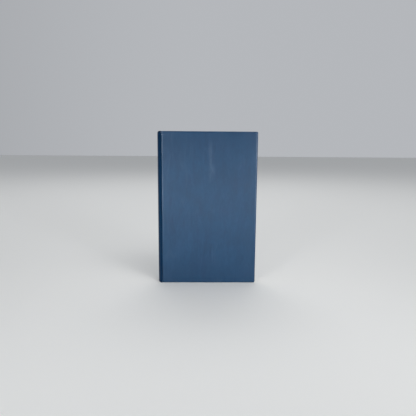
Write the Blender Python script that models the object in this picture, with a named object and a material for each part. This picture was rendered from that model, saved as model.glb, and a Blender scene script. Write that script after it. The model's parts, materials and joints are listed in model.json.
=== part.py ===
"""A pilot logbook: a sewn hardcover book bound in navy leather, standing on its foot.

X runs across the book with the spine at -X, Y runs through its thickness with the front cover at -Y,
and Z runs up. The origin is under the middle of the book. A cover piece is drawn in its hinge's own
frame, where X runs away from the joint and depth is measured inwards from the outer face.
"""

from math import acos, asin, cos, pi, sin, sqrt

import bmesh
import bpy

MM = 0.001

# Outside sizes.
HEIGHT = 230 * MM
THICKNESS = 20 * MM
COVER_WIDTH = 142.5 * MM  # from the joint to the fore edge
SPINE_BULGE = 6 * MM  # how far the round spine stands out past the joint

# Thickness of each layer, from the outside of a cover inwards.
LEATHER = 0.8 * MM
BOARD = 2.2 * MM
TURN_IN = 0.5 * MM
ENDPAPER = 0.2 * MM
FLYLEAF = 0.15 * MM
GAP = 0.05 * MM  # between faces that are glued or pressed together

# Thickness of each layer, from the outside of the spine inwards.
SPINE_CARD = 0.5 * MM
HOLLOW = 0.15 * MM  # the spine opens away from the block here
LINING = 0.3 * MM
MULL = 0.15 * MM
TAPE = 0.2 * MM

SQUARE = 3 * MM  # how far the covers stand past the pages
TURN_IN_WIDTH = 15 * MM
EDGE_ROUND = 0.8 * MM
JOINT_GAP = 0.1 * MM  # from the joint line to each piece beside it

SIGNATURES = 12
GUTTER_DEPTH = 2.25 * MM  # from the joint line to the line that the pages turn on
ROOT_SHARE = 0.32  # thickness of a signature at the gutter, as a share of its full thickness
ROOT_WIDTH = 3 * MM  # over which it grows to full thickness

TAPE_COUNT = 4
TAPE_WIDTH = 12 * MM
TAPE_END_REACH = 24 * MM  # from the joint line, where a tape and the mull are glued to a board
MULL_REACH = 30 * MM
FLANGE_START = 1 * MM
MULL_END = 13 * MM  # the open cloth stops this far short of the head and the foot of the pages
BAND_RADIUS = 0.95 * MM
ARC_STEPS = 14
BAND_SIDES = 10

# The spine is an arc whose chord is the book's thickness and whose height is the bulge.
SPINE_RADIUS = ((THICKNESS / 2) ** 2 + SPINE_BULGE**2) / (2 * SPINE_BULGE)
FORE_EDGE_X = (COVER_WIDTH + SPINE_BULGE) / 2
JOINT_X = FORE_EDGE_X - COVER_WIDTH
SPINE_CENTRE_X = JOINT_X - SPINE_BULGE + SPINE_RADIUS

# Depth of each layer's outer face under a cover's outer face.
BOARD_DEPTH = LEATHER + GAP
TURN_IN_DEPTH = BOARD_DEPTH + BOARD + GAP
TAPE_END_DEPTH = TURN_IN_DEPTH + MULL + GAP
PASTEDOWN_HINGE_DEPTH = TAPE_END_DEPTH + TAPE + GAP
PASTEDOWN_DEPTH = TURN_IN_DEPTH + TURN_IN + GAP
FLYLEAF_DEPTH = PASTEDOWN_DEPTH + ENDPAPER + GAP
BLOCK_DEPTH = FLYLEAF_DEPTH + FLYLEAF + GAP

# Outer radius of each layer of the spine.
CARD_RADIUS = SPINE_RADIUS - LEATHER - GAP
LINING_RADIUS = CARD_RADIUS - SPINE_CARD - HOLLOW
MULL_RADIUS = LINING_RADIUS - LINING - GAP
TAPE_RADIUS = MULL_RADIUS - MULL - GAP
BLOCK_RADIUS = TAPE_RADIUS - TAPE - GAP

HALF_BLOCK = THICKNESS / 2 - BLOCK_DEPTH
SIGNATURE_PITCH = 2 * HALF_BLOCK / SIGNATURES
SIGNATURE = SIGNATURE_PITCH - GAP
GUTTER_X = JOINT_X + GUTTER_DEPTH
PAGE_END_X = FORE_EDGE_X - SQUARE
FOOT, HEAD = SQUARE, HEIGHT - SQUARE

NAVY = (0.012, 0.045, 0.115)
GREY_CARD = (0.32, 0.29, 0.25)
ENDPAPER_WHITE = (0.78, 0.75, 0.68)
PAGE_WHITE = (0.84, 0.81, 0.73)
CLOTH_WHITE = (0.70, 0.67, 0.60)
KRAFT = (0.42, 0.29, 0.17)
BAND_BLUE = (0.05, 0.12, 0.30)


def clear_scene():
    for old in list(bpy.data.objects):
        bpy.data.objects.remove(old, do_unlink=True)


def make_material(name, colour, roughness):
    material = bpy.data.materials.new(name)
    material.use_nodes = True
    shader = material.node_tree.nodes["Principled BSDF"]
    shader.inputs["Base Color"].default_value = (*colour, 1.0)
    shader.inputs["Roughness"].default_value = roughness
    shader.inputs["Metallic"].default_value = 0.0
    return material


def add_piece(name, bm, colour, roughness, at=(0, 0, 0), parent=None):
    """Turns a closed bmesh into a named object with its own material."""
    bmesh.ops.recalc_face_normals(bm, faces=bm.faces)
    mesh = bpy.data.meshes.new(name)
    bm.to_mesh(mesh)
    bm.free()
    mesh.materials.append(make_material(name, colour, roughness))
    piece = bpy.data.objects.new(name, mesh)
    piece.location = at
    piece.parent = parent
    bpy.context.scene.collection.objects.link(piece)
    return piece


def add_empty(name, at):
    empty = bpy.data.objects.new(name, None)
    empty.location = at
    bpy.context.scene.collection.objects.link(empty)
    return empty


def loft(rings):
    """A closed solid through rings of the same number of points, with a flat cap on each end."""
    bm = bmesh.new()
    made = [[bm.verts.new(point) for point in ring] for ring in rings]
    for low, high in zip(made, made[1:]):
        for i, corner in enumerate(low):
            after = (i + 1) % len(low)
            bm.faces.new((corner, low[after], high[after], high[i]))
    bm.faces.new(made[0][::-1])
    bm.faces.new(made[-1])
    return bm


def prism(outline, bottom, top):
    """A solid of the outline's points (x, y), standing from bottom to top."""
    return loft([[(x, y, z) for x, y in outline] for z in (bottom, top)])


def box(low, high):
    outline = [(low[0], low[1]), (high[0], low[1]), (high[0], high[1]), (low[0], high[1])]
    return prism(outline, low[2], high[2])


def spine_point(radius, angle, z):
    """A point on the spine's round, at an angle from its middle."""
    return (SPINE_CENTRE_X - radius * cos(angle), radius * sin(angle), z)


def spine_sweep(profile, half_angle):
    """A solid of the profile's points (radius, z), swept round the spine."""
    angles = [half_angle * (2 * i / ARC_STEPS - 1) for i in range(ARC_STEPS + 1)]
    return loft([[spine_point(r, a, z) for r, z in profile] for a in angles])


def spine_sheet(outer_radius, thickness, half_angle, bottom, top):
    inner_radius = outer_radius - thickness
    profile = [(outer_radius, bottom), (outer_radius, top), (inner_radius, top), (inner_radius, bottom)]
    return spine_sweep(profile, half_angle)


def angle_at_x(radius, x):
    """Angle from the spine's middle at which the round of this radius reaches x."""
    return acos((SPINE_CENTRE_X - x) / radius)


def angle_at_y(radius, y):
    return asin(y / radius)


def stepped_sheet(xs, zs, depth_at, thickness, side):
    """A sheet over a grid of xs and zs, whose outer face lies at depth_at(i, j) at each grid point."""
    bm = bmesh.new()

    def point(i, j, offset):
        return xs[i], -side * (depth_at(i, j) + offset), zs[j]

    def layer(offset):
        return [[bm.verts.new(point(i, j, offset)) for j in range(len(zs))] for i in range(len(xs))]

    outer, inner = layer(0), layer(thickness)
    last_x, last_z = len(xs) - 1, len(zs) - 1
    for i in range(last_x):
        for j in range(last_z):
            for rows in (outer, inner):
                bm.faces.new((rows[i][j], rows[i + 1][j], rows[i + 1][j + 1], rows[i][j + 1]))
    for i in range(last_x):
        for j in (0, last_z):
            bm.faces.new((outer[i][j], outer[i + 1][j], inner[i + 1][j], inner[i][j]))
    for j in range(last_z):
        for i in (0, last_x):
            bm.faces.new((outer[i][j], outer[i][j + 1], inner[i][j + 1], inner[i][j]))
    return bm


def cover_box(side, xs, depths, zs):
    """A box in a cover's hinge frame, between two values each of x, depth and z."""
    return box((xs[0], -side * depths[0], zs[0]), (xs[1], -side * depths[1], zs[1]))


def round_outer_edges(bm):
    """Rounds every edge but those of the face at the joint, which stays open for the spine."""
    edges = [e for e in bm.edges if max(v.co.x for v in e.verts) > COVER_WIDTH / 2]
    bmesh.ops.bevel(bm, geom=edges, offset=EDGE_ROUND, segments=3, affect="EDGES", profile=0.5)


def add_cutter(name, bm, target, parent):
    cutter = add_piece(name, bm, GREY_CARD, 1.0, parent=parent)
    cutter.hide_render = True
    cutter.display_type = "WIRE"
    cut = target.modifiers.new(name, "BOOLEAN")
    cut.operation = "DIFFERENCE"
    cut.solver = "EXACT"
    cut.object = cutter


def add_cover_leather(name, side, hinge):
    """The leather on one board: its outer face, three wrapped edges, and the turn-ins glued inside."""
    inner_face = TURN_IN_DEPTH + TURN_IN
    skin = cover_box(side, (JOINT_GAP, COVER_WIDTH), (0, inner_face), (0, HEIGHT))
    round_outer_edges(skin)
    leather = add_piece(name, skin, NAVY, 0.45, parent=hinge)
    past = 5 * MM  # a cutter reaches this far out through an open side
    pocket = cover_box(
        side,
        (-past, COVER_WIDTH - LEATHER),
        (LEATHER, TURN_IN_DEPTH),
        (LEATHER, HEIGHT - LEATHER),
    )
    add_cutter(name + "_board_pocket", pocket, leather, hinge)
    window = cover_box(
        side,
        (-past, COVER_WIDTH - TURN_IN_WIDTH),
        (BOARD_DEPTH + BOARD / 2, inner_face + past),
        (TURN_IN_WIDTH, HEIGHT - TURN_IN_WIDTH),
    )
    add_cutter(name + "_turn_in_window", window, leather, hinge)


def tape_span(number):
    """The two ends in Z of one of the sewing tapes, which are spaced evenly up the back."""
    middle = FOOT + (HEAD - FOOT) * (number + 1) / (TAPE_COUNT + 1)
    return middle - TAPE_WIDTH / 2, middle + TAPE_WIDTH / 2


def add_cover(side, word):
    """One hinged cover. Its hinge is the joint line on the outer face."""
    hinge = add_empty(word + "_cover_hinge", (JOINT_X, side * THICKNESS / 2, 0))
    add_cover_leather(word + "_cover_leather", side, hinge)
    edge = LEATHER + GAP
    board = cover_box(
        side,
        (JOINT_GAP, COVER_WIDTH - edge),
        (BOARD_DEPTH, BOARD_DEPTH + BOARD),
        (edge, HEIGHT - edge),
    )
    add_piece(word + "_board", board, GREY_CARD, 0.9, parent=hinge)
    add_pastedown(word + "_pastedown", side, hinge)
    mull = cover_box(
        side,
        (FLANGE_START, MULL_REACH),
        (TURN_IN_DEPTH, TURN_IN_DEPTH + MULL),
        (FOOT + MULL_END, HEAD - MULL_END),
    )
    add_piece(word + "_mull_flange", mull, CLOTH_WHITE, 0.95, parent=hinge)
    for i in range(TAPE_COUNT):
        tape = cover_box(
            side,
            (FLANGE_START, TAPE_END_REACH),
            (TAPE_END_DEPTH, TAPE_END_DEPTH + TAPE),
            tape_span(i),
        )
        add_piece(f"{word}_tape_end_{i + 1}", tape, CLOTH_WHITE, 0.9, parent=hinge)


def add_pastedown(name, side, hinge):
    """The glued half of an endpaper. It lies over the turn-ins and the mull, and sinks between them."""
    slope = 1 * MM  # over which the paper climbs onto what lies under it
    climb = TURN_IN_WIDTH + GAP
    xs = [
        SQUARE,
        MULL_REACH + GAP,
        MULL_REACH + GAP + slope,
        COVER_WIDTH - climb - slope,
        COVER_WIDTH - climb,
        COVER_WIDTH - SQUARE,
    ]
    zs = [SQUARE, climb, climb + slope, HEIGHT - climb - slope, HEIGHT - climb, HEIGHT - SQUARE]

    def depth_at(i, j):
        if i >= len(xs) - 2 or j <= 1 or j >= len(zs) - 2:
            return PASTEDOWN_DEPTH
        return PASTEDOWN_HINGE_DEPTH if i <= 1 else TURN_IN_DEPTH

    pastedown = stepped_sheet(xs, zs, depth_at, ENDPAPER, side)
    add_piece(name, pastedown, ENDPAPER_WHITE, 0.8, parent=hinge)


def page_end(y):
    """X of the pages' fore edge, hollow by as much as the back of the block is round."""
    rounding = sqrt(BLOCK_RADIUS**2 - y**2) - sqrt(BLOCK_RADIUS**2 - HALF_BLOCK**2)
    return PAGE_END_X - rounding


def add_signature(number):
    """A gathering of folded leaves. It is thin at the gutter, which leaves room to turn."""
    side = -1 if number <= SIGNATURES // 2 else 1
    from_cover = number - 1 if side < 0 else SIGNATURES - number
    outer_y = side * (HALF_BLOCK - from_cover * SIGNATURE_PITCH)
    root_y, inner_y = -side * ROOT_SHARE * SIGNATURE, -side * SIGNATURE
    outline = [
        (GAP, 0),
        (page_end(outer_y) - GUTTER_X, 0),
        (page_end(outer_y + inner_y) - GUTTER_X, inner_y),
        (ROOT_WIDTH, inner_y),
        (GAP, root_y),
    ]
    add_piece(
        f"signature_{number:02d}",
        prism(outline, FOOT, HEAD),
        PAGE_WHITE,
        0.85,
        at=(GUTTER_X, outer_y, 0),
    )


def add_flyleaf(side, word):
    """The free half of an endpaper. It starts a little past the gutter, where it is tipped on."""
    outer_y = side * (THICKNESS / 2 - FLYLEAF_DEPTH)
    tipped = 1 * MM
    leaf = box((tipped, 0, FOOT), (PAGE_END_X - GUTTER_X, -side * FLYLEAF, HEAD))
    add_piece(word + "_flyleaf", leaf, ENDPAPER_WHITE, 0.8, at=(GUTTER_X, outer_y, 0))


def add_sewn_block():
    """The folds of the signatures, sewn and glued into one rounded back."""
    half_angle = angle_at_y(BLOCK_RADIUS, HALF_BLOCK)
    angles = [half_angle * (1 - 2 * i / ARC_STEPS) for i in range(ARC_STEPS + 1)]
    back = [spine_point(BLOCK_RADIUS, angle, 0)[:2] for angle in angles]
    gutter = [(GUTTER_X, -HALF_BLOCK), (GUTTER_X, HALF_BLOCK)]
    add_piece("sewn_spine_block", prism(back + gutter, FOOT, HEAD), PAGE_WHITE, 0.85)


def add_spine():
    """What covers the back of the block, from the tapes out to the leather."""
    on_block = angle_at_y(BLOCK_RADIUS, HALF_BLOCK)
    for i in range(TAPE_COUNT):
        tape = spine_sheet(TAPE_RADIUS, TAPE, on_block, *tape_span(i))
        add_piece(f"sewing_tape_{i + 1}", tape, CLOTH_WHITE, 0.9)
    mull = spine_sheet(MULL_RADIUS, MULL, on_block, FOOT + MULL_END, HEAD - MULL_END)
    add_piece("spine_mull", mull, CLOTH_WHITE, 0.95)
    lining_end = 2 * MM
    lining = spine_sheet(LINING_RADIUS, LINING, on_block, FOOT + lining_end, HEAD - lining_end)
    add_piece("spine_lining", lining, KRAFT, 0.9)
    cap = LEATHER + GAP
    card_end_x = JOINT_X - 5 * JOINT_GAP
    card_angle = angle_at_x(CARD_RADIUS - SPINE_CARD, card_end_x)
    card = spine_sheet(CARD_RADIUS, SPINE_CARD, card_angle, cap, HEIGHT - cap)
    add_piece("spine_card", card, GREY_CARD, 0.9)
    inner, lip = SPINE_RADIUS - LEATHER, CARD_RADIUS - SPINE_CARD
    profile = [
        (SPINE_RADIUS, 0),
        (SPINE_RADIUS, HEIGHT),
        (lip, HEIGHT),
        (lip, HEIGHT - LEATHER),
        (inner, HEIGHT - LEATHER),
        (inner, LEATHER),
        (lip, LEATHER),
        (lip, 0),
    ]
    leather_angle = angle_at_x(lip, JOINT_X - JOINT_GAP)
    add_piece("spine_leather", spine_sweep(profile, leather_angle), NAVY, 0.45)


def add_band(name, middle_z):
    """The stitched roll that hides the folds at one end of the back."""
    roll_radius = BLOCK_RADIUS - BAND_RADIUS
    half_angle = angle_at_y(roll_radius, HALF_BLOCK - BAND_RADIUS)
    turns = [2 * pi * i / BAND_SIDES for i in range(BAND_SIDES)]
    profile = [(roll_radius + BAND_RADIUS * cos(t), middle_z + BAND_RADIUS * sin(t)) for t in turns]
    band = add_piece(name, spine_sweep(profile, half_angle), BAND_BLUE, 0.7)
    band.data.shade_smooth()
    band.data.set_sharp_from_angle(angle=pi / 4)


def build():
    clear_scene()
    for side, word in ((-1, "front"), (1, "back")):
        add_cover(side, word)
        add_flyleaf(side, word)
    for number in range(1, SIGNATURES + 1):
        add_signature(number)
    add_sewn_block()
    add_spine()
    reach = GAP + BAND_RADIUS
    add_band("headband", HEAD + reach)
    add_band("tailband", FOOT - reach)


build()
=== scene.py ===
"""The looks of the pilot logbook: its leather case, paper block, bands, floor, light and camera."""

import json
import random
from math import acos, asin, cos, exp, pi, radians, sin, sqrt

import bmesh
import bpy
from mathutils import Matrix, Vector


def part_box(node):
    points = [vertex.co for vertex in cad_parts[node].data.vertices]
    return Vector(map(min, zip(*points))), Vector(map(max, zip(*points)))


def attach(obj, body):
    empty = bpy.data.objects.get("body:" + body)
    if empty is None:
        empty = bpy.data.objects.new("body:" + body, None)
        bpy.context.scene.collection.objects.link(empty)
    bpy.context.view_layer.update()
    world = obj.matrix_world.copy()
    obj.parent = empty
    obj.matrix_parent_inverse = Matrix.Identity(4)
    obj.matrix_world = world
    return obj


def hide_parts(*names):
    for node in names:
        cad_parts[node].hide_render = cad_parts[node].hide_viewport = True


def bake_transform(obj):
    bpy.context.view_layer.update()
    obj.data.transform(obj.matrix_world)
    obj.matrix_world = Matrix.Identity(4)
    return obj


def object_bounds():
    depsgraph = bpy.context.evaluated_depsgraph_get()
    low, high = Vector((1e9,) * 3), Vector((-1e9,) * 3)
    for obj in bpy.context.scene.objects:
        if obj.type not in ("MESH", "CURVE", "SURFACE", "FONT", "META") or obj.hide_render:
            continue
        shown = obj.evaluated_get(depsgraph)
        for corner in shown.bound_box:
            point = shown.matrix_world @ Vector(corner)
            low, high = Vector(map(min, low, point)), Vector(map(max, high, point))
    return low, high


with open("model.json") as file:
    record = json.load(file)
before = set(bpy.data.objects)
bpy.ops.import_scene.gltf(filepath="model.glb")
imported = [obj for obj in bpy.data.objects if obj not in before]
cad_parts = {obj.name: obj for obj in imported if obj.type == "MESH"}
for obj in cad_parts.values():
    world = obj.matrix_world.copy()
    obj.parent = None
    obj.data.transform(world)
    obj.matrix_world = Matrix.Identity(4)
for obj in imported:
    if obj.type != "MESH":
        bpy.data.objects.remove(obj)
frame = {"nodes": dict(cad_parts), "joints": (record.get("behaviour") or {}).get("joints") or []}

MM = 0.001
CAD_LOW, CAD_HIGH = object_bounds()

# Places that come from the frame.
JOINT_POS = {joint["name"]: joint["pos_m"] for joint in frame["joints"]}
HEIGHT = CAD_HIGH.z
HALF_DEPTH = CAD_HIGH.y
JOINT_X = JOINT_POS["front_cover_hinge"][0]
COVER_WIDTH = CAD_HIGH.x - JOINT_X
BULGE = JOINT_X - CAD_LOW.x
SPINE_RADIUS = (HALF_DEPTH**2 + BULGE**2) / (2 * BULGE)
SPINE_CENTRE_X = CAD_LOW.x + SPINE_RADIUS
GUTTER_X = JOINT_POS["signature_01_turn"][0]
FOOT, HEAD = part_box("signature_01")[0].z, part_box("signature_01")[1].z
COVER_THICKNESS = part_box("front_cover_leather")[1].y + HALF_DEPTH
PAGE_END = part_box("front_flyleaf")[1].x
SIGNATURES = 12
SIDES = ((-1, "front"), (1, "back"))

# Leather.
EDGE_ROUND = 2.1 * MM
INNER_ROUND = 0.7 * MM
SKIN = 0.55 * MM
TURN_IN = 15 * MM
TURN_IN_THICKNESS = 0.4 * MM
PILLOW = 0.12 * MM  # how far a board's face falls towards its edges
PILLOW_REACH = 3 * MM
CREASE_DEPTH = 1.7 * MM
CREASE_FILL = 9 * MM  # from the head and the foot, where the turned-in leather fills the crease
SPINE_SKIN = 0.3 * MM
SPINE_EDGE = 1.0 * MM  # gap in the face between the back and a joint line
LIP_ROUND = 0.3 * MM
LIP_TUCK, LIP_STEP = 0.1 * MM, 0.02 * MM  # the lip's last turn: how far down, and how far in
LIP_BELOW_CREASE = 0.5 * MM
SKIN_START = 0.05 * MM  # from the joint, where a cover's leather starts
BOARD_GAP = 0.05 * MM  # between a board and the turned-in leather
BOARD_SIDE, BOARD_ROUND = 0.62 * MM, 1.5 * MM  # the board's edge at the joint
JOINT_SKIN = 0.25 * MM
JOINT_HANG = 0.35 * MM  # how far the sides of the leather in a joint drop behind the groove's walls
JOINT_FOLD = (-0.35 * MM, 0.1 * MM)  # the leather in a joint folds between these distances from it
HEAD_ROUND, HEAD_DRAW = 3.2 * MM, 2.4 * MM  # height of the roll at the head, and how far it draws in
TAIL_ROUND, TAIL_DRAW = 1.6 * MM, 1.0 * MM
DRAW_AT_JOINT = 0.3  # share of a roll's draw that is left at the joints
HIGHLIGHT_INSET = 1.7 * MM  # from a board's edge to the middle of the painted highlight line
HIGHLIGHT_LOW, HIGHLIGHT_HIGH = 45 * MM, 130 * MM  # heights between which that painted highlight grows to its full strength
MARK_PLACE = 0.52  # of the cover's width from the joint, where a pale streak lies
MARK_WIDTH, MARK_LOW, MARK_HIGH = 7 * MM, 150 * MM, 222 * MM

# Paper.
LEAVES = 8  # in a signature
LEAF = 0.1 * MM
LEAF_BEND = 5.5 * MM  # from the gutter, over which a leaf curves when the book opens
PAPER = 0.12 * MM
UNEVEN_CUT = 0.09 * MM  # how unevenly the fore edges of the leaves are cut
SHEET_SLIP = 0.1 * MM  # the most that a sheet is short of the full height at each end
RULE = 0.3 * MM  # printed line
RULE_INK = (0.23, 0.36, 0.52)
TABLE_MARGIN, TABLE_FOOT = 9 * MM, 14 * MM
TABLE_ROW, TABLE_ROWS, TABLE_COLUMNS = 8 * MM, 25, 12
WIDE_COLUMN = (3.5, 6.5)  # in columns from the left: no upright rules between these

# Endpapers. An outline's points are (distance from the joint, depth under the outer face), in mm.
SHOULDER_BEND = [
    (-0.4, 1.95), (-0.36, 2.8), (-0.3, 3.5), (-0.15, 3.85), (0.2, 3.98), (1.2, 3.99), (2.2, 3.98),
]
FOLD_THICKNESS = 0.08 * MM
PASTEDOWN_WRAP = [(0.03, 1.9), (0.03, 2.5), (0.04, 3.0), (0.12, 3.22), (0.35, 3.32), (0.9, 3.4)]
PASTEDOWN_START = 1.6 * MM  # from the joint, where the flat part of the sheet starts
PASTEDOWN_DEPTH = 3.3 * MM  # of its free face, between the turn-ins and clear of the mull
MULL_RISE, TURN_IN_RISE = 0.25 * MM, 0.5 * MM  # how much higher it lies on these
RISE_LENGTH = 1.4 * MM

# Camera.
CAMERA_DISTANCE = 620.5 * MM
CAMERA_LEFT, CAMERA_HEIGHT = 14.3 * MM, 213.5 * MM  # from the middle of the cover, and from the floor
CAMERA_TURNS = (1.16, 8.87, 0.42)  # yaw, pitch down and roll, in degrees
CAMERA_LENS, CAMERA_SENSOR = 36.23, 36.0

# Stage.
FLOOR_HALF = 6.0
DARK_WAY = Vector((-0.94, -0.34, 0.0))  # the side that the room is darkest on

rng = random.Random(7)


# ---------------------------------------------------------------- mesh helpers

def smoothstep(low, high, value):
    t = min(1.0, max(0.0, (value - low) / (high - low)))
    return t * t * (3 - 2 * t)


def spaced(low, high, count):
    """count + 1 values from low to high."""
    return [low + (high - low) * i / count for i in range(count + 1)]


def cover_point(side, x, depth, z):
    """A point in the frame, from its distance to the joint and its depth under the outer face."""
    return Vector((JOINT_X + x, side * (HALF_DEPTH - depth), z))


def make_mesh(name, verts, faces, angle=40):
    mesh = bpy.data.meshes.new(name)
    mesh.from_pydata(verts, [], faces)
    bm = bmesh.new()
    bm.from_mesh(mesh)
    bmesh.ops.remove_doubles(bm, verts=bm.verts, dist=1e-7)
    bmesh.ops.dissolve_degenerate(bm, edges=bm.edges, dist=1e-7)
    bmesh.ops.recalc_face_normals(bm, faces=bm.faces)
    bm.to_mesh(mesh)
    bm.free()
    mesh.shade_smooth()
    mesh.set_sharp_from_angle(angle=radians(angle))
    piece = bpy.data.objects.new(name, mesh)
    bpy.context.scene.collection.objects.link(piece)
    return piece


def grid_faces(rows, columns, start=0):
    """Quads of a grid of points stored row by row."""
    faces = []
    for i in range(rows - 1):
        for j in range(columns - 1):
            a = start + i * columns + j
            faces.append((a, a + 1, a + columns + 1, a + columns))
    return faces


def thicken(piece, thickness, offset=-1.0):
    """Gives an open sheet its thickness, and applies it."""
    solid = piece.modifiers.new("thickness", "SOLIDIFY")
    solid.thickness = thickness
    solid.offset = offset
    solid.use_even_offset = False
    apply_modifiers(piece)


def apply_modifiers(piece):
    bpy.context.view_layer.update()
    evaluated = piece.evaluated_get(bpy.context.evaluated_depsgraph_get())
    mesh = bpy.data.meshes.new_from_object(evaluated)
    old = piece.data
    piece.modifiers.clear()
    piece.data = mesh
    bpy.data.meshes.remove(old)


def finish_piece(piece, material, body, slot, *replaced):
    piece.data.materials.clear()
    piece.data.materials.append(material)
    if isinstance(body, str):
        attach(piece, body)
    else:
        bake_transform(piece)
    if replaced:
        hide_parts(*replaced)
    return piece


# ---------------------------------------------------------------- material helpers

class Nodes:
    """Builds a node material with short calls."""

    def __init__(self, name):
        self.material = bpy.data.materials.new(name)
        self.material.use_nodes = True
        self.tree = self.material.node_tree
        self.shader = self.tree.nodes["Principled BSDF"]

    def set(self, **values):
        for key, value in values.items():
            self.shader.inputs[key.replace("_", " ")].default_value = value
        return self

    def add(self, kind, values=(), **settings):
        node = self.tree.nodes.new(kind)
        for key, value in settings.items():
            setattr(node, key, value)
        for key, value in dict(values).items():
            if isinstance(value, bpy.types.NodeSocket):
                self.tree.links.new(value, node.inputs[key])
            else:
                node.inputs[key].default_value = value
        return node

    def link(self, source, name):
        self.tree.links.new(source, self.shader.inputs[name])

    def place(self, attribute=None, scale=(1, 1, 1), offset=(0, 0, 0)):
        """Coordinates in metres, scaled: the object's own, or a stored rest position."""
        if attribute:
            source = self.add("ShaderNodeAttribute", attribute_name=attribute).outputs["Vector"]
        else:
            source = self.add("ShaderNodeTexCoord").outputs["Object"]
        mapping = self.add("ShaderNodeMapping", {"Vector": source, "Scale": scale, "Location": offset})
        return mapping.outputs["Vector"]

    def noise(self, vector, scale, detail=2.0, roughness=0.5, distortion=0.0):
        values = {
            "Vector": vector,
            "Scale": scale,
            "Detail": detail,
            "Roughness": roughness,
            "Distortion": distortion,
        }
        return self.add("ShaderNodeTexNoise", values).outputs["Fac"]

    def remap(self, value, low, high, to_low=0.0, to_high=1.0):
        values = {
            "Value": value,
            "From Min": low,
            "From Max": high,
            "To Min": to_low,
            "To Max": to_high,
        }
        node = self.add("ShaderNodeMapRange", values, interpolation_type="SMOOTHSTEP")
        return node.outputs["Result"]

    def math(self, operation, a, b=0.0):
        return self.add("ShaderNodeMath", {0: a, 1: b}, operation=operation).outputs["Value"]

    def mix(self, factor, a, b):
        node = self.add("ShaderNodeMix", data_type="RGBA")
        for index, value in ((0, factor), (6, a), (7, b)):
            if isinstance(value, bpy.types.NodeSocket):
                self.tree.links.new(value, node.inputs[index])
            else:
                node.inputs[index].default_value = value
        return node.outputs[2]

    def bump(self, height, strength, distance, normal=None):
        values = {"Height": height, "Strength": strength, "Distance": distance}
        if normal is not None:
            values["Normal"] = normal
        return self.add("ShaderNodeBump", values).outputs["Normal"]


def rgba(red, green, blue):
    return (red, green, blue, 1.0)


def make_leather(name, gloss, painted_shade):
    """Navy bookbinding leather: smoky mottling, soft upright veins, fine grain and a satin face, with
    painted highlights along the boards' upright edges and painted shade towards the head and the foot.

    gloss is the strength of its shine, and the last argument is how far its colour is darkened as painted
    shade, from 0 to 1."""
    dark, light = rgba(0.0030, 0.0310, 0.0880), rgba(0.0130, 0.0640, 0.1560)
    # Below: the darkest colour is painted shade for the spine, and the pale one serves both the real pale
    # streak and the painted edge highlights.
    painted_shade_colour, pale_streak_and_highlight = rgba(0.0003, 0.0080, 0.0340), rgba(0.0560, 0.1060, 0.1860)
    # Painted shade towards the head and the foot.
    end_shade_colour = rgba(0.0010, 0.0330, 0.0900)
    n = Nodes(name)
    n.set(Roughness=0.4, Metallic=0.0, Specular_IOR_Level=gloss)
    place = n.place()
    cloud = n.noise(place, 26.0, 3.0, 0.55, 0.3)
    smoke = n.noise(n.place(scale=(1.0, 1.0, 0.22)), 165.0, 3.5, 0.6, 0.8)
    hue = n.noise(n.place(offset=(0.3, 0.1, 0.7)), 32.0, 2.0, 0.5)
    low_cloud, high_cloud = rgba(0.0010, 0.0425, 0.1090), rgba(0.0026, 0.0515, 0.1280)
    base = n.mix(n.remap(cloud, 0.3, 0.7), low_cloud, high_cloud)
    base = n.mix(n.remap(hue, 0.45, 0.75, 0.0, 0.4), base, rgba(0.0070, 0.0430, 0.1150))
    base = n.mix(n.remap(smoke, 0.34, 0.5, 0.35, 0.0), base, dark)
    base = n.mix(n.remap(smoke, 0.5, 0.72, 0.0, 0.4), base, light)
    fleck = n.noise(n.place(scale=(1.0, 1.0, 0.45)), 330.0, 3.0, 0.65)
    base = n.mix(n.remap(fleck, 0.34, 0.5, 0.18, 0.0), base, dark)
    base = n.mix(n.remap(fleck, 0.5, 0.68, 0.0, 0.16), base, light)
    # Veins follow one level of a stretched noise, which closes into long thin lens shapes.
    vein_noise = n.noise(n.place(scale=(1.0, 1.0, 0.22), offset=(0.02, 0.0, 0.013)), 62.0, 1.5, 0.4, 0.4)
    ridge = n.math("ABSOLUTE", n.math("SUBTRACT", vein_noise, 0.55))
    line = n.remap(ridge, 0.0, 0.05, 1.0, 0.0)
    where = n.remap(n.noise(n.place(offset=(0.05, 0.2, 0.11)), 30.0, 1.0), 0.46, 0.64)
    vein = n.math("MULTIPLY", line, where)
    base = n.mix(n.math("MULTIPLY", vein, 0.26), base, rgba(0.0300, 0.0850, 0.1700))
    # Painted shade: the colour darkens towards the head and the foot, leaving the middle lighter as if it
    # caught the sheen.
    height = n.add("ShaderNodeSeparateXYZ", {"Vector": place}).outputs["Z"]
    from_middle = n.math("ABSOLUTE", n.math("SUBTRACT", height, HEIGHT / 2))
    shade_towards_end = n.remap(from_middle, HEIGHT / 4, HEIGHT / 2, 0.0, 0.42)
    base = n.mix(shade_towards_end, base, end_shade_colour)
    mark = n.math("MULTIPLY", pale_mark(n), n.remap(smoke, 0.4, 0.6, 0.3, 1.0))
    base = n.mix(n.math("MULTIPLY", mark, 0.4), base, pale_streak_and_highlight)
    # Painted shade: darkens the spine's copy, which faces away from the light.
    base = n.mix(painted_shade, base, painted_shade_colour)
    # Painted highlight along the boards' upright edges.
    base = n.mix(painted_edge_highlights(n), base, pale_streak_and_highlight)
    n.link(base, "Base Color")
    n.link(n.remap(smoke, 0.3, 0.7, 0.34, 0.41), "Roughness")
    cells = n.add("ShaderNodeTexVoronoi", {"Vector": place, "Scale": 1500.0}, feature="SMOOTH_F1")
    pores = n.noise(place, 900.0, 3.0, 0.6)
    grain = n.math("ADD", cells.outputs["Distance"], n.math("MULTIPLY", pores, 0.6))
    normal = n.bump(grain, 0.2, 0.0001)
    normal = n.bump(n.math("ADD", vein, smoke), 0.3, 0.00015, normal)
    n.link(normal, "Normal")
    return n.material


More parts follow.
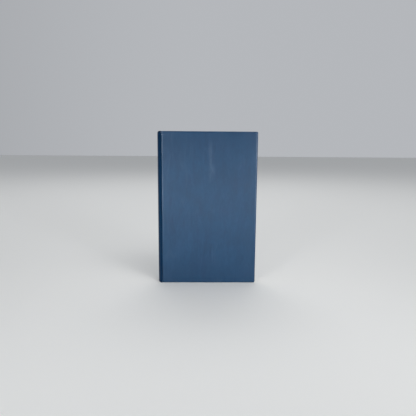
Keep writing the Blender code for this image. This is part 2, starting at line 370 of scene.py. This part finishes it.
def pale_mark(n):
    """The soft pale streak in the middle of the front cover, below its head."""
    axes = n.add("ShaderNodeSeparateXYZ", {"Vector": n.place()})
    sway = n.math("MULTIPLY", n.noise(n.place(scale=(0.2, 0.2, 1.0)), 70.0, 2.0), MARK_WIDTH)
    off = n.math("SUBTRACT", axes.outputs["X"], JOINT_X + MARK_PLACE * COVER_WIDTH - MARK_WIDTH / 2)
    across = n.remap(n.math("ABSOLUTE", n.math("SUBTRACT", off, sway)), 0.0, MARK_WIDTH, 1.0, 0.0)
    fade = 20 * MM
    up = n.remap(axes.outputs["Z"], MARK_LOW, MARK_LOW + fade)
    down = n.remap(axes.outputs["Z"], MARK_HIGH - fade, MARK_HIGH, 1.0, 0.0)
    on_front = n.math("LESS_THAN", axes.outputs["Y"], 0.0)
    return n.math("MULTIPLY", n.math("MULTIPLY", on_front, across), n.math("MULTIPLY", up, down))


def painted_edge_highlights(n):
    """Painted highlight: how far the leather's colour is paled along the upright edges of the boards,
    growing with height.
    """
    axes = n.add("ShaderNodeSeparateXYZ", {"Vector": n.place()})
    across, up = axes.outputs["X"], axes.outputs["Z"]
    lines = []
    for edge_x, amount in ((JOINT_X + HIGHLIGHT_INSET, 0.85), (CAD_HIGH.x - HIGHLIGHT_INSET, 0.8)):
        off = n.math("ABSOLUTE", n.math("SUBTRACT", across, edge_x))
        lines.append(n.remap(off, 0.1 * HIGHLIGHT_INSET, 0.8 * HIGHLIGHT_INSET, amount, 0.0))
    patches = n.remap(n.noise(n.place(scale=(1.0, 1.0, 0.5)), 60.0, 2.0), 0.3, 0.6, 0.4, 1.0)
    height = n.remap(up, HIGHLIGHT_LOW, HIGHLIGHT_HIGH)
    return n.math("MULTIPLY", n.math("ADD", *lines), n.math("MULTIPLY", patches, height))


def make_paper(name, low, high, fibre_scale=1400.0, ruled=False):
    """Uncoated paper with a faint mottle and fine fibres, plain or printed with a blank table."""
    n = Nodes(name)
    n.set(Roughness=0.86, Metallic=0.0)
    place = n.place("rest")
    mottle = n.noise(place, 160.0, 4.0, 0.6)
    fibre = n.noise(n.place("rest", scale=(1.0, 1.0, 0.35)), fibre_scale, 3.0, 0.6)
    tone = n.mix(n.remap(mottle, 0.3, 0.7), rgba(*low), rgba(*high))
    tone = n.mix(n.remap(fibre, 0.62, 0.8, 0.0, 0.08), tone, rgba(0.45, 0.40, 0.31))
    if ruled:
        tone = n.mix(n.math("MULTIPLY", table_lines(n), 0.7), tone, rgba(*RULE_INK))
    n.link(tone, "Base Color")
    n.link(n.bump(fibre, 0.1, 0.00002), "Normal")
    return n.material


def table_lines(n):
    """1 on the rules of a page's blank table: even rows, and columns with one wide gap."""
    axes = n.add("ShaderNodeSeparateXYZ", {"Vector": n.place("rest")})
    across, up = axes.outputs["X"], axes.outputs["Z"]

    def between(value, low, high):
        above = n.math("GREATER_THAN", value, low)
        return n.math("MULTIPLY", above, n.math("LESS_THAN", value, high))

    def rules(value, start, pitch):
        """Thin lines at start and every pitch from it."""
        part = n.math("FRACT", n.math("DIVIDE", n.math("SUBTRACT", value, start), pitch))
        from_line = n.math("SUBTRACT", 0.5, n.math("ABSOLUTE", n.math("SUBTRACT", part, 0.5)))
        return n.remap(from_line, 0.5 * RULE / pitch, RULE / pitch, 1.0, 0.0)

    left, right = GUTTER_X + TABLE_MARGIN, PAGE_END - TABLE_MARGIN
    foot, head = FOOT + TABLE_FOOT, FOOT + TABLE_FOOT + TABLE_ROWS * TABLE_ROW
    column = (right - left) / TABLE_COLUMNS
    inside_width = between(across, left - RULE, right + RULE)
    inside = n.math("MULTIPLY", inside_width, between(up, foot - RULE, head + RULE))
    gap_start, gap_end = (left + place * column for place in WIDE_COLUMN)
    in_gap = between(across, gap_start, gap_end)
    columns = n.math("MULTIPLY", rules(across, left, column), n.math("SUBTRACT", 1.0, in_gap))
    header = between(up, head - 2 * TABLE_ROW + RULE, head - RULE)
    rows = n.math("MULTIPLY", rules(up, foot, TABLE_ROW), n.math("SUBTRACT", 1.0, header))
    return n.math("MULTIPLY", n.math("MAXIMUM", rows, columns), inside)


def make_cloth(name, colour, dark, thread):
    """Plain-woven cotton, with one thread's width given."""
    n = Nodes(name)
    n.set(Roughness=0.92, Metallic=0.0)
    place = n.place()
    split = n.add("ShaderNodeSeparateXYZ", {"Vector": place})
    waves = []
    for axis in ("X", "Y", "Z"):
        turn = n.math("MULTIPLY", split.outputs[axis], pi / thread)
        waves.append(n.math("ABSOLUTE", n.math("SINE", turn)))
    weave = n.math("MULTIPLY", n.math("ADD", waves[0], waves[1]), waves[2])
    # The dark colour fills the weave's low places: painted shade between the threads.
    n.link(n.mix(n.remap(weave, 0.05, 1.2), rgba(*dark), rgba(*colour)), "Base Color")
    n.link(n.bump(weave, 0.5, 0.00012), "Normal")
    return n.material


def make_board():
    """Grey binder's board: pressed fibres with dark and light flecks."""
    n = Nodes("binders_board")
    n.set(Roughness=0.93, Metallic=0.0)
    place = n.place()
    fleck = n.noise(place, 800.0, 4.0, 0.7)
    tone = n.mix(n.remap(fleck, 0.35, 0.65), rgba(0.20, 0.18, 0.15), rgba(0.38, 0.35, 0.30))
    n.link(tone, "Base Color")
    n.link(n.bump(fleck, 0.4, 0.0001), "Normal")
    return n.material


def make_band_thread():
    """Blue and cream thread, in groups that follow the stored turn count."""
    n = Nodes("band_thread")
    n.set(Roughness=0.62, Metallic=0.0)
    n.shader.inputs["Sheen Weight"].default_value = 0.25
    turn = n.add("ShaderNodeAttribute", attribute_name="turn").outputs["Fac"]
    group = n.math("FRACT", n.math("DIVIDE", turn, 6.0))
    colour = n.mix(n.remap(group, 0.49, 0.51), rgba(0.035, 0.10, 0.28), rgba(0.74, 0.70, 0.60))
    strand = n.math("ABSOLUTE", n.math("SINE", n.math("MULTIPLY", turn, pi)))
    # Painted shade in the grooves between the turns of thread.
    colour = n.mix(n.remap(strand, 0.0, 0.6, 0.55, 0.0), colour, rgba(0.02, 0.03, 0.06))
    n.link(colour, "Base Color")
    fuzz = n.noise(n.place(), 2500.0, 3.0)
    n.link(n.bump(fuzz, 0.25, 0.00008), "Normal")
    return n.material


LEATHER = make_leather("navy_leather", 0.5, 0.0)
# The spine's copy of the leather: darkened by painted shade, with little shine.
SPINE_LEATHER_SHADED = make_leather("navy_spine_leather", 0.08, 0.5)
PAGE_PAPER = make_paper("page_paper", (0.74, 0.70, 0.61), (0.79, 0.75, 0.66), ruled=True)
ENDPAPER = make_paper("endpaper", (0.77, 0.74, 0.66), (0.81, 0.78, 0.70), 1100.0)
KRAFT = make_paper("kraft_lining", (0.30, 0.19, 0.10), (0.44, 0.30, 0.17), 700.0)
CLOTH = make_cloth("binding_cloth", (0.72, 0.68, 0.58), (0.30, 0.27, 0.21), 0.6 * MM)
BOARD = make_board()
BAND_THREAD = make_band_thread()


def store_rest(piece):
    """Keeps each vertex's place at rest, so that a pattern stays on a piece that bends."""
    mesh = piece.data
    attribute = mesh.attributes.new("rest", "FLOAT_VECTOR", "POINT")
    for i, vertex in enumerate(mesh.vertices):
        attribute.data[i].vector = vertex.co


# ---------------------------------------------------------------- leather case

def crease_depth(z):
    """Depth of the joint's crease. It is shallower at the head and the foot."""
    from_end = min(z, HEIGHT - z)
    return CREASE_DEPTH * (0.45 + 0.55 * smoothstep(0.0, CREASE_FILL, from_end))


def edge_profile():
    """Points round a board's edge from face to turn-in: (distance out of the inner rectangle, depth)."""
    points = []
    for i in range(9):
        turn = pi / 2 * i / 8
        points.append((EDGE_ROUND * sin(turn), EDGE_ROUND * (1 - cos(turn))))
    wall_end = COVER_THICKNESS - INNER_ROUND
    points += [(EDGE_ROUND, EDGE_ROUND + (wall_end - EDGE_ROUND) * i / 3) for i in (1, 2, 3)]
    for i in range(1, 6):
        turn = pi / 2 * i / 5
        out = EDGE_ROUND - INNER_ROUND * (1 - cos(turn))
        points.append((out, wall_end + INNER_ROUND * sin(turn)))
    inner_end = EDGE_ROUND - TURN_IN
    start = points[-1][0]
    points += [(start + (inner_end - start) * i / 6, COVER_THICKNESS) for i in range(1, 7)]
    points.append((inner_end - 0.3 * MM, COVER_THICKNESS - TURN_IN_THICKNESS))
    return points


def add_cover_skin(side, word):
    """The leather of one board. A dense grid makes its face, and rings wrap three of its edges."""
    inner_x, low_z, high_z = COVER_WIDTH - EDGE_ROUND, EDGE_ROUND, HEIGHT - EDGE_ROUND
    near = [SKIN_START + EDGE_ROUND * (i / 10) ** 2 for i in range(11)]
    xs = near + spaced(near[-1], inner_x, 96)[1:]
    zs = spaced(low_z, high_z, 156)
    verts = [(x, 0.0, z) for x in xs for z in zs]
    faces = grid_faces(len(xs), len(zs))
    columns = len(zs)

    def at(i, j):
        return i * columns + j

    last = len(xs) - 1
    border = [(at(i, 0), (0.0, -1.0)) for i in range(last + 1)]
    corner_steps = 5
    for i in range(1, corner_steps):
        turn = pi / 2 * i / corner_steps
        border.append((at(last, 0), (sin(turn), -cos(turn))))
    border += [(at(last, j), (1.0, 0.0)) for j in range(columns)]
    for i in range(1, corner_steps):
        turn = pi / 2 * i / corner_steps
        border.append((at(last, columns - 1), (cos(turn), sin(turn))))
    border += [(at(i, columns - 1), (0.0, 1.0)) for i in range(last, -1, -1)]

    def inner_place(x, z, out, way):
        """Inside the inner rectangle the rings keep a sharp corner, where two turn-ins meet."""
        if out >= 0:
            return x + way[0] * out, z + way[1] * out
        if x > inner_x + out:
            x = inner_x + out
        z = min(max(z, low_z - out), high_z + out)
        return x, z

    previous = [index for index, _ in border]
    for out, depth in edge_profile()[1:]:
        ring = []
        for index, way in border:
            x, _, z = verts[index]
            x, z = inner_place(x, z, out, way)
            ring.append(len(verts))
            verts.append((x, depth, z))
        for k in range(len(border) - 1):
            faces.append((previous[k], previous[k + 1], ring[k + 1], ring[k]))
        previous = ring

    placed = []
    for x, depth, z in verts:
        inset = max(0.0, min(COVER_WIDTH - x, z, HEIGHT - z))
        near_face = max(0.0, 1 - depth / (COVER_THICKNESS / 2))
        depth += PILLOW * exp(-inset / PILLOW_REACH) * near_face
        round_here = EDGE_ROUND * min(1.0, crease_depth(z) / EDGE_ROUND)
        if x < SKIN_START + EDGE_ROUND:
            away = (SKIN_START + EDGE_ROUND - x) / EDGE_ROUND
            fall = round_here * (1 - sqrt(max(0.0, 1 - away * away)))
            depth = max(depth, fall)
        placed.append(cover_point(side, x, depth, z))
    skin = make_mesh(word + "_cover_skin", placed, faces)
    aim_outwards(skin, side)
    thicken(skin, SKIN)
    return finish_piece(skin, LEATHER, word + "_cover", "navy_leather", word + "_cover_leather")


def aim_outwards(piece, side):
    """Turns an open sheet's faces so that the one nearest its middle looks out of the cover."""
    middle = cover_point(side, COVER_WIDTH / 2, 0.0, HEIGHT / 2)
    nearest = min(piece.data.polygons, key=lambda face: (face.center - middle).length)
    if nearest.normal.y * side < 0:
        piece.data.flip_normals()


def spine_section():
    """Half of the back's outline from its middle to the joint, as (angle share, x, depth)."""
    edge_angle = acos((SPINE_CENTRE_X - JOINT_X + SPINE_EDGE) / SPINE_RADIUS)
    points = []
    for share in spaced(0.0, 1.0, 24):
        turn = share * edge_angle
        x = SPINE_CENTRE_X - SPINE_RADIUS * cos(turn) - JOINT_X
        points.append((share, x, HALF_DEPTH - SPINE_RADIUS * sin(turn)))
    _, x, depth = points[-1]
    first = edge_angle - pi / 2
    for turn in spaced(first, pi / 2, 7)[1:]:
        round_x = x + LIP_ROUND * (sin(turn) - sin(first))
        points.append((1.0, round_x, depth + LIP_ROUND * (cos(first) - cos(turn))))
    return points


def cap_rows(draw_in, height):
    """(how far the back is drawn in, z) from the lip inside the foot up to where the back is full."""
    rows = [(draw_in + LIP_ROUND, 2.2 * LIP_ROUND)]
    for turn in spaced(0.0, pi / 2, 4):
        rows.append((draw_in + LIP_ROUND * cos(turn), LIP_ROUND * (1 - sin(turn))))
    for turn in spaced(0.0, pi / 2, 10)[1:]:
        rows.append((draw_in * (1 - sin(turn)), height * (1 - cos(turn))))
    return rows


def add_spine_skin():
    """The round back: an arc across, with a roll over each end and an edge turned into each joint."""
    section = spine_section()
    rows = cap_rows(TAIL_DRAW, TAIL_ROUND)
    rows += [(0.0, z) for z in spaced(TAIL_ROUND, HEIGHT - HEAD_ROUND, 120)[1:-1]]
    rows += [(draw, HEIGHT - z) for draw, z in reversed(cap_rows(HEAD_DRAW, HEAD_ROUND))]
    verts = []
    for draw, z in rows:
        row = []
        for share, x, depth in section:
            pull = draw * (DRAW_AT_JOINT + (1 - DRAW_AT_JOINT) * cos(share * pi / 2) ** 2)
            angle = share * pi / 3
            row.append((x + pull * cos(angle), depth + pull * sin(angle)))
        x, depth = row[-1]
        row.append((x + LIP_STEP, max(depth + LIP_TUCK, crease_depth(z) + LIP_BELOW_CREASE)))
        whole = [(-1, point) for point in reversed(row)] + [(1, point) for point in row[1:]]
        verts += [cover_point(side, x, depth, z) for side, (x, depth) in whole]
    skin = make_mesh("spine_skin", verts, grid_faces(len(rows), len(verts) // len(rows)))
    middle = Vector((CAD_LOW.x, 0.0, HEIGHT / 2))
    nearest = min(skin.data.polygons, key=lambda face: (face.center - middle).length)
    if nearest.normal.x > 0:
        skin.data.flip_normals()
    thicken(skin, SPINE_SKIN)
    # At the corners of the lips the thickness leans out past the ends, which lie flush here.
    for vertex in skin.data.vertices:
        vertex.co.z = min(max(vertex.co.z, 0.0), HEIGHT)
    finish_piece(skin, SPINE_LEATHER_SHADED, "book_block", "navy_leather", "spine_leather")


def add_board(side, word):
    """The board in a cover. Its edge at the joint is rounded, as the leather over it is."""
    low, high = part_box(word + "_board")
    left, right = BOARD_SIDE, high.x - JOINT_X
    face = COVER_THICKNESS - TURN_IN_THICKNESS - (high.y - low.y)
    back = COVER_THICKNESS - TURN_IN_THICKNESS - BOARD_GAP
    outline = [(left, back), (right, back), (right, face), (left + BOARD_ROUND, face)]
    for turn in spaced(0.0, pi / 2, 8)[1:]:
        outline.append((left + BOARD_ROUND * (1 - sin(turn)), face + BOARD_ROUND * (1 - cos(turn))))
    count = len(outline)
    verts = [cover_point(side, x, depth, z) for z in (low.z, high.z) for x, depth in outline]
    faces = [(i, (i + 1) % count, (i + 1) % count + count, i + count) for i in range(count)]
    faces += [tuple(range(count)), tuple(range(count, 2 * count))]
    board = make_mesh(word + "_board_rounded", verts, faces, 25)
    finish_piece(board, BOARD, word + "_cover", "binders_board", word + "_board")


def add_joint(side, word):
    """The strip of leather along the bottom of a joint's groove, which on the real book folds as the
    cover opens.
    """
    zs = spaced(EDGE_ROUND, HEIGHT - EDGE_ROUND, 100)
    left, right = -SPINE_EDGE + 0.1 * MM, 0.3 * MM
    verts = []
    for z in zs:
        for turn in spaced(-pi / 2, pi / 2, 14):
            x = (left + right) / 2 + (right - left) / 2 * sin(turn)
            depth = crease_depth(z) + JOINT_HANG * (1 - cos(turn))
            verts.append(cover_point(side, x, depth, z))
    strip = make_mesh(word + "_joint_leather", verts, grid_faces(len(zs), len(verts) // len(zs)))
    thicken(strip, JOINT_SKIN, 0.0)
    start, end = (cover_point(side, x, 0.0, 0.0) for x in JOINT_FOLD)
    # The joint takes the spine's copy, with its painted shade.
    finish_piece(strip, SPINE_LEATHER_SHADED, ("book_block", word + "_cover", start, end), "navy_leather")


# ---------------------------------------------------------------- paper

def ribbon(points, thickness, bottom, top):
    """(verts, faces) of a sheet seen end-on as a line of points (x, y), standing from bottom to top."""
    left, right = [], []
    for i, (x, y) in enumerate(points):
        before, after = points[max(0, i - 1)], points[min(len(points) - 1, i + 1)]
        along = Vector((after[0] - before[0], after[1] - before[1])).normalized()
        push = Vector((-along.y, along.x)) * thickness / 2
        left.append((x + push.x, y + push.y))
        right.append((x - push.x, y - push.y))
    loop = left + right[::-1]
    count = len(loop)
    verts = [(x, y, z) for z in (bottom, top) for x, y in loop]
    faces = [(i, (i + 1) % count, (i + 1) % count + count, i + count) for i in range(count)]
    for base in (0, count):
        for i in range(len(points) - 1):
            faces.append((base + i, base + i + 1, base + count - 2 - i, base + count - 1 - i))
    return verts, faces


def join_ribbons(name, ribbons):
    verts, faces = [], []
    for more_verts, more_faces in ribbons:
        base = len(verts)
        verts += more_verts
        faces += [tuple(index + base for index in face) for face in more_faces]
    return make_mesh(name, verts, faces, 30)


def page_end(y):
    """X of the pages' fore edge, hollow by as much as the back of the block is round."""
    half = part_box("signature_12")[1].y
    radius = SPINE_CENTRE_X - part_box("sewn_spine_block")[0].x
    return PAGE_END - sqrt(radius**2 - min(abs(y), half) ** 2) + sqrt(radius**2 - half**2)


def back_x(y):
    radius = SPINE_CENTRE_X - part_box("sewn_spine_block")[0].x
    return SPINE_CENTRE_X - sqrt(radius**2 - y**2)


def leg(y, end, fold_x):
    """Points of one leaf from its fore edge to its fold, close together where it bends."""
    far = [end, end - 12 * MM, (end + GUTTER_X) / 2, GUTTER_X + 25 * MM, GUTTER_X + 10 * MM]
    bend = [GUTTER_X + LEAF_BEND * (1 - i / 12) for i in range(13)]
    return [(x, y) for x in far + bend + [fold_x]]


def add_signature(number):
    """A gathering of folded sheets, nested at the fold, with the leaves running out of the sewn back."""
    node = f"signature_{number:02d}"
    low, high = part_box(node)
    pitch = (high.y - low.y) / LEAVES
    middle = (low.y + high.y) / 2
    ribbons = []
    for sheet in range(LEAVES // 2):
        half_gap = pitch * (sheet + 0.5)
        fold_x = back_x(middle) + 0.25 * MM + pitch * (LEAVES / 2 - sheet)
        one, other = middle - half_gap, middle + half_gap
        turns = []
        for turn in spaced(-pi / 2, pi / 2, 6)[1:-1]:
            turns.append((fold_x - half_gap * cos(turn), middle + half_gap * sin(turn)))
        first_end, second_end = (page_end(y) - abs(rng.gauss(0.0, UNEVEN_CUT)) for y in (one, other))
        first = leg(one, first_end, fold_x + pitch)
        second = leg(other, second_end, fold_x + pitch)
        points = first + turns + second[::-1]
        shift = rng.uniform(-SHEET_SLIP, 0.0)
        ribbons.append(ribbon(points, LEAF, FOOT - shift, HEAD + shift))
    leaves = join_ribbons(node + "_leaves", ribbons)
    store_rest(leaves)
    start, end = Vector((GUTTER_X, 0, 0)), Vector((GUTTER_X + LEAF_BEND, 0, 0))
    finish_piece(leaves, PAGE_PAPER, ("book_block", node, start, end), "page_paper", node)


def add_flyleaf(word):
    """The free half of an endpaper."""
    node = word + "_flyleaf"
    low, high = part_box(node)
    y = (low.y + high.y) / 2
    points = leg(y, high.x, GUTTER_X - 0.3 * MM)
    leaf = join_ribbons(node + "_sheet", [ribbon(points, PAPER, FOOT, HEAD)])
    store_rest(leaf)
    start, end = Vector((GUTTER_X, 0, 0)), Vector((GUTTER_X + LEAF_BEND, 0, 0))
    finish_piece(leaf, ENDPAPER, ("book_block", node, start, end), "endpaper", node)


def add_shoulder(side, word):
    """Where an endpaper comes up out of the joint and over the shoulder of the block."""
    points = [cover_point(side, x * MM, depth * MM, 0.0).xy for x, depth in SHOULDER_BEND]
    sheet = join_ribbons(word + "_endpaper_fold", [ribbon(points, FOLD_THICKNESS, FOOT, HEAD)])
    store_rest(sheet)
    finish_piece(sheet, ENDPAPER, "book_block", "endpaper")


def pastedown_depth(x, z):
    """Depth of the pasted sheet's free face: high on the turn-ins and the mull, low between."""
    edge = TURN_IN + 0.2 * MM
    from_edge = min(COVER_WIDTH - x, z, HEIGHT - z)
    on_turn_in = 1 - smoothstep(edge, edge + RISE_LENGTH, from_edge)
    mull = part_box("front_mull_flange")
    mull_end = mull[1].x - JOINT_X
    from_mull = max(x - mull_end, mull[0].z - z, z - mull[1].z)
    on_mull = 1 - smoothstep(0.0, RISE_LENGTH, from_mull)
    rise = MULL_RISE * on_mull + (TURN_IN_RISE - MULL_RISE * on_mull) * on_turn_in
    return PASTEDOWN_DEPTH + rise


def add_pastedown(side, word):
    """The pasted half of an endpaper, which dips between the turn-ins and ends round the board's edge."""
    node = word + "_pastedown"
    low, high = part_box(node)
    xs = spaced(PASTEDOWN_START, high.x - JOINT_X, 110)
    zs = spaced(low.z, high.z, 150)
    rows = [[cover_point(side, x * MM, depth * MM, z) for z in zs] for x, depth in PASTEDOWN_WRAP]
    rows += [[cover_point(side, x, pastedown_depth(x, z), z) for z in zs] for x in xs]
    verts = [point for row in rows for point in row]
    sheet = make_mesh(node + "_sheet", verts, grid_faces(len(rows), len(zs)))
    aim_outwards(sheet, side)
    thicken(sheet, PAPER, 1.0)
    store_rest(sheet)
    finish_piece(sheet, ENDPAPER, word + "_cover", "endpaper", node)


def add_glued_back():
    """The film of glue that holds the folds together, under the sewing tapes."""
    low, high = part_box("sewn_spine_block")
    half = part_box("signature_12")[1].y
    points = [(back_x(y) + 0.1 * MM, y) for y in spaced(-half, half, 40)]
    film = join_ribbons("glued_back", [ribbon(points, 0.15 * MM, low.z, high.z)])
    store_rest(film)
    finish_piece(film, ENDPAPER, "book_block", "page_paper", "sewn_spine_block")


def add_band(node):
    """The roll at one end of the back, wound with thread in two colours."""
    low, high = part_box(node)
    radius = (high.z - low.z) / 2
    block_radius = SPINE_CENTRE_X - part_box("sewn_spine_block")[0].x
    path_radius = block_radius - radius
    half = (high.y - low.y) / 2
    half_angle = asin(min(1.0, half / (path_radius + radius)))
    threads, steps, around = 34, 6, 16
    verts, turns = [], []
    for i in range(threads * steps + 1):
        turn = i / steps
        angle = half_angle * (2 * i / (threads * steps) - 1)
        swell = radius * (0.90 + 0.10 * abs(sin(pi * turn)) ** 0.6)
        end = min(1.0, (min(turn, threads - turn) + 0.3) / 1.0)
        swell *= sqrt(end)
        for k in range(around):
            t = 2 * pi * k / around
            r = path_radius + swell * cos(t)
            z = (low.z + high.z) / 2 + swell * sin(t)
            verts.append((SPINE_CENTRE_X - r * cos(angle), r * sin(angle), z))
            turns.append(turn)
    count = threads * steps + 1
    faces = []
    for i in range(count - 1):
        for k in range(around):
            a, b = i * around + k, i * around + (k + 1) % around
            faces.append((a, b, b + around, a + around))
    faces.append(tuple(range(around)))
    faces.append(tuple(range((count - 1) * around, count * around)))
    roll = make_mesh(node + "_roll", verts, faces, 60)
    attribute = roll.data.attributes.new("turn", "FLOAT", "POINT")
    for i, value in enumerate(turns):
        attribute.data[i].value = value
    finish_piece(roll, BAND_THREAD, "book_block", "band_thread", node)


def dress_cad_nodes():
    """Gives the hidden CAD pieces that are kept their own materials."""
    for name, node in frame["nodes"].items():
        if "tape" in name or "mull" in name:
            material = CLOTH
        elif name == "spine_card":
            material = BOARD
        elif name == "spine_lining":
            material = KRAFT
        else:
            continue
        node.data.materials.clear()
        node.data.materials.append(material)


# ---------------------------------------------------------------- stage, light and camera

def add_floor():
    mesh = bpy.data.meshes.new("studio_floor")
    signs = ((-1, -1), (1, -1), (1, 1), (-1, 1))
    corners = [(FLOOR_HALF * x, FLOOR_HALF * y, 0.0) for x, y in signs]
    mesh.from_pydata(corners, [], [(0, 1, 2, 3)])
    floor = bpy.data.objects.new("studio_floor", mesh)
    bpy.context.scene.collection.objects.link(floor)
    n = Nodes("studio_floor")
    n.set(Roughness=0.95, Specular_IOR_Level=0.1)
    n.shader.inputs["Base Color"].default_value = rgba(0.88, 0.88, 0.86)
    mesh.materials.append(n.material)


def add_light(name, place, aim, size, power, spread=180):
    """A soft rectangular light at place, facing aim. Its beam is spread degrees wide."""
    data = bpy.data.lights.new(name, "AREA")
    data.shape = "RECTANGLE"
    data.size, data.size_y = size
    data.energy = power
    data.spread = radians(spread)
    light = bpy.data.objects.new(name, data)
    light.location = place
    light.rotation_euler = (Vector(aim) - Vector(place)).to_track_quat("-Z", "Y").to_euler()
    light.visible_camera = False
    bpy.context.scene.collection.objects.link(light)


def add_world():
    """A pale room, darker to the left, where the spine faces."""
    world = bpy.data.worlds.new("studio")
    world.use_nodes = True
    tree = world.node_tree
    direction = tree.nodes.new("ShaderNodeTexCoord").outputs["Generated"]
    towards_dark = tree.nodes.new("ShaderNodeVectorMath")
    towards_dark.operation = "DOT_PRODUCT"
    towards_dark.inputs[1].default_value = DARK_WAY
    strength = tree.nodes.new("ShaderNodeMapRange")
    strength.interpolation_type = "SMOOTHSTEP"
    for name, value in (("From Min", -0.35), ("From Max", 0.75), ("To Min", 0.50), ("To Max", 0.32)):
        strength.inputs[name].default_value = value
    background = tree.nodes["Background"]
    background.inputs["Color"].default_value = rgba(0.92, 0.95, 1.0)
    tree.links.new(direction, towards_dark.inputs[0])
    tree.links.new(towards_dark.outputs["Value"], strength.inputs["Value"])
    tree.links.new(strength.outputs["Result"], background.inputs["Strength"])
    bpy.context.scene.world = world


def add_lights():
    middle = (JOINT_X + COVER_WIDTH / 2, -HALF_DEPTH, HEIGHT / 2)
    add_light("key_softbox", (0.65, -0.9, 1.5), middle, (1.0, 0.7), 6.6)
    add_light("low_panel", (0.02, -0.85, 0.045), middle, (0.9, 0.08), 0.105, 60)
    add_light("left_softbox", (-0.5, -0.87, 0.24), middle, (0.20, 0.22), 0.21, 50)
    add_light("right_softbox", (0.62, -0.85, 0.24), middle, (0.20, 0.22), 0.28, 50)
    add_light("back_softbox", (0.0, 1.2, 1.6), (0.0, 0.4, 0.0), (1.5, 0.8), 8.0)
    bpy.context.scene.view_settings.view_transform = "Standard"


def add_camera():
    """In front of the book and just under its head, looking slightly down."""
    yaw, pitch, roll = (radians(turn) for turn in CAMERA_TURNS)
    ahead = Vector((sin(yaw) * cos(pitch), cos(yaw) * cos(pitch), -sin(pitch)))
    level = Vector((cos(yaw), -sin(yaw), 0.0))
    raised = level.cross(ahead)
    right = cos(roll) * level + sin(roll) * raised
    up = cos(roll) * raised - sin(roll) * level
    data = bpy.data.cameras.new("camera")
    data.lens = CAMERA_LENS
    data.sensor_width = CAMERA_SENSOR
    data.clip_start = 0.01
    camera = bpy.data.objects.new("camera", data)
    bpy.context.scene.collection.objects.link(camera)
    turn = Matrix((right, up, -ahead)).transposed()
    camera_x = JOINT_X + COVER_WIDTH / 2 - CAMERA_LEFT
    place = Vector((camera_x, -HALF_DEPTH - CAMERA_DISTANCE, CAMERA_HEIGHT))
    camera.matrix_world = Matrix.Translation(place) @ turn.to_4x4()
    bpy.context.scene.camera = camera


add_floor()
add_camera()
add_world()
add_lights()
dress_cad_nodes()
for side, word in SIDES:
    add_cover_skin(side, word)
    add_board(side, word)
    add_joint(side, word)
    add_pastedown(side, word)
    add_shoulder(side, word)
    add_flyleaf(word)
add_spine_skin()
add_glued_back()
for number in range(1, SIGNATURES + 1):
    add_signature(number)
add_band("headband")
add_band("tailband")
